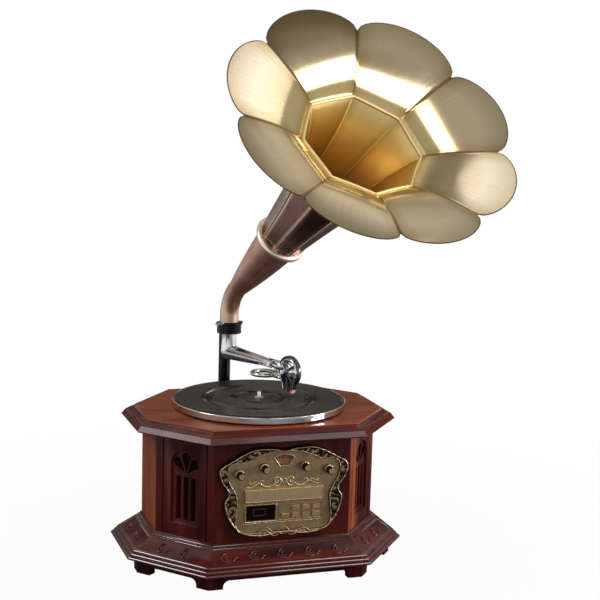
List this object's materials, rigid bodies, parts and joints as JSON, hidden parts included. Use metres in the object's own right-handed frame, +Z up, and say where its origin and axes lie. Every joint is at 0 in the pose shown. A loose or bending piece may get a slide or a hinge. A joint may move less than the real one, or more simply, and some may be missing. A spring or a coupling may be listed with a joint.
{
  "type": "gramophone style record player with radio and disc drawer",
  "caption": "Eight-sided wooden table gramophone with a petal horn on a bent neck, belt-driven turntable, tone arm, radio fascia with knobs and buttons, and a sliding disc drawer.",
  "frame": {"origin": "middle of the plane that the feet stand on, under the turntable spindle", "axes": "+X to the right of the fascia, +Y to the back, +Z up"},
  "size_m": [0.6156, 0.567, 0.9388],
  "materials": {
    "mahogany_top": "gloss lacquer",
    "mahogany": "gloss lacquer",
    "grille_cloth": "woven",
    "speaker_paper": "matt",
    "antique_bronze": "antiqued",
    "button_bronze": "satin metal effect",
    "dial_glass": "clear",
    "display_glass": "smoked",
    "dial_card": "printed card",
    "red_plastic": "gloss",
    "zinc_steel": "zinc plated",
    "circuit_board": "matt",
    "core_steel": "varnished",
    "black_plastic": "gloss",
    "bearing_brass": "machined",
    "chrome": "polished",
    "polished_aluminium": "polished rim",
    "mat_rubber": "matt",
    "belt_rubber": "matt",
    "black_enamel": "gloss enamel",
    "dark_copper": "dark copper plate",
    "rose_copper": "polished copper plate",
    "satin_brass": "brushed satin, dark copper outside"
  },
  "bodies": {
    "cabinet": {"top_board": "mahogany_top", "front_panel": "mahogany", "left_grille_panel": "mahogany", "right_grille_panel": "mahogany", "left_side_panel": "mahogany", "right_side_panel": "mahogany", "rear_left_panel": "mahogany", "rear_right_panel": "mahogany", "back_panel": "mahogany", "plinth_moulding": "mahogany", "base_board": "mahogany", "bracket_feet": "mahogany", "grille_cloths": "grille_cloth", "left_speaker": "speaker_paper", "right_speaker": "speaker_paper", "escutcheon": "antique_bronze", "dial_glass": "dial_glass", "dial_card": "dial_card", "display_window": "display_glass", "cd_housing": "zinc_steel", "control_pots": "zinc_steel", "switch_board": "circuit_board", "amplifier_board": "circuit_board", "power_transformer": "core_steel", "mains_inlet": "black_plastic", "audio_sockets": "black_plastic", "bearing_bush": "bearing_brass", "drive_belt": "belt_rubber", "motor": "zinc_steel", "back_bracket": "black_enamel", "bracket_bolts": "chrome"},
    "turntable": {"platter": "polished_aluminium", "platter_mat": "mat_rubber", "spindle": "chrome"},
    "drive_pulley": {"motor_pulley": "bearing_brass"},
    "arm": {"tonearm": "chrome", "arm_pin": "chrome"},
    "arm_head": {"gooseneck": "chrome", "finger_ring": "chrome", "soundbox": "black_plastic", "soundbox_cover": "chrome", "cartridge": "black_plastic", "stylus": "red_plastic"},
    "horn": {"horn_elbow": "dark_copper", "horn_ring": "rose_copper", "horn_bell": "satin_brass"},
    "drawer": {"cd_drawer": "button_bronze"},
    "pointer": {"dial_pointer": "red_plastic"},
    "volume_knob": {"knob_volume": "antique_bronze"},
    "tone_knob": {"knob_tone": "antique_bronze"},
    "tuning_knob": {"knob_tuning": "antique_bronze"},
    "band_knob": {"knob_band": "antique_bronze"},
    "push_button_1": {"button_1": "button_bronze"},
    "push_button_2": {"button_2": "button_bronze"},
    "push_button_3": {"button_3": "button_bronze"},
    "push_button_4": {"button_4": "button_bronze"},
    "push_button_5": {"button_5": "button_bronze"},
    "push_button_6": {"button_6": "button_bronze"},
    "push_button_7": {"button_7": "button_bronze"}
  },
  "joints": [
    {"name": "platter_spin", "type": "hinge", "parent": "cabinet", "child": "turntable", "pos_m": [0, 0, 0.27], "axis": [0, 0, 1], "continuous": true},
    {"name": "pulley_spin", "type": "hinge", "parent": "cabinet", "child": "drive_pulley", "pos_m": [-0.10046, 0.058, 0.265], "axis": [0, 0, 1], "continuous": true},
    {"name": "arm_swing", "type": "hinge", "parent": "cabinet", "child": "arm", "pos_m": [-0.008, 0.17, 0.36], "axis": [0, 0, 1], "range_deg": [-6, 45]},
    {"name": "head_lift", "type": "hinge", "parent": "arm", "child": "arm_head", "pos_m": [0.03816, 0.04847, 0.324], "axis": [-0.9348, -0.3551, 0], "range_deg": [0, 25]},
    {"name": "horn_swivel", "type": "hinge", "parent": "cabinet", "child": "horn", "pos_m": [-0.008, 0.17, 0.376], "axis": [0, 0, 1], "range_deg": [-40, 40]},
    {"name": "drawer_slide", "type": "slide", "parent": "cabinet", "child": "drawer", "axis": [0, -1, 0], "range_m": [0, 0.125]},
    {"name": "volume_turn", "type": "hinge", "parent": "cabinet", "child": "volume_knob", "pos_m": [-0.0775, -0.16, 0.184], "axis": [0, 1, 0], "range_deg": [-140, 140]},
    {"name": "tone_turn", "type": "hinge", "parent": "cabinet", "child": "tone_knob", "pos_m": [-0.035, -0.16, 0.192], "axis": [0, 1, 0], "range_deg": [-140, 140]},
    {"name": "tuning_turn", "type": "hinge", "parent": "cabinet", "child": "tuning_knob", "pos_m": [0.035, -0.16, 0.192], "axis": [0, 1, 0], "range_deg": [-140, 140]},
    {"name": "band_turn", "type": "hinge", "parent": "cabinet", "child": "band_knob", "pos_m": [0.0775, -0.16, 0.184], "axis": [0, 1, 0], "range_deg": [-45, 45]},
    {"name": "pointer_swing", "type": "hinge", "parent": "cabinet", "child": "pointer", "pos_m": [0, -0.1446, 0.1845], "axis": [0, 1, 0], "range_deg": [-30, 30]},
    {"name": "press_1", "type": "slide", "parent": "cabinet", "child": "push_button_1", "axis": [0, 1, 0], "range_m": [0, 0.0015], "stiffness_N_per_m": 600, "springref_m": -0.002},
    {"name": "press_2", "type": "slide", "parent": "cabinet", "child": "push_button_2", "axis": [0, 1, 0], "range_m": [0, 0.0015], "stiffness_N_per_m": 600, "springref_m": -0.002},
    {"name": "press_3", "type": "slide", "parent": "cabinet", "child": "push_button_3", "axis": [0, 1, 0], "range_m": [0, 0.0015], "stiffness_N_per_m": 600, "springref_m": -0.002},
    {"name": "press_4", "type": "slide", "parent": "cabinet", "child": "push_button_4", "axis": [0, 1, 0], "range_m": [0, 0.0015], "stiffness_N_per_m": 600, "springref_m": -0.002},
    {"name": "press_5", "type": "slide", "parent": "cabinet", "child": "push_button_5", "axis": [0, 1, 0], "range_m": [0, 0.0015], "stiffness_N_per_m": 600, "springref_m": -0.002},
    {"name": "press_6", "type": "slide", "parent": "cabinet", "child": "push_button_6", "axis": [0, 1, 0], "range_m": [0, 0.0015], "stiffness_N_per_m": 600, "springref_m": -0.002},
    {"name": "press_7", "type": "slide", "parent": "cabinet", "child": "push_button_7", "axis": [0, 1, 0], "range_m": [0, 0.0015], "stiffness_N_per_m": 600, "springref_m": -0.002}
  ],
  "couplings": [
    {"joint": "pulley_spin", "follows": "platter_spin", "ratio": 14.823},
    {"joint": "pointer_swing", "follows": "tuning_turn", "ratio": 0.2}
  ]
}
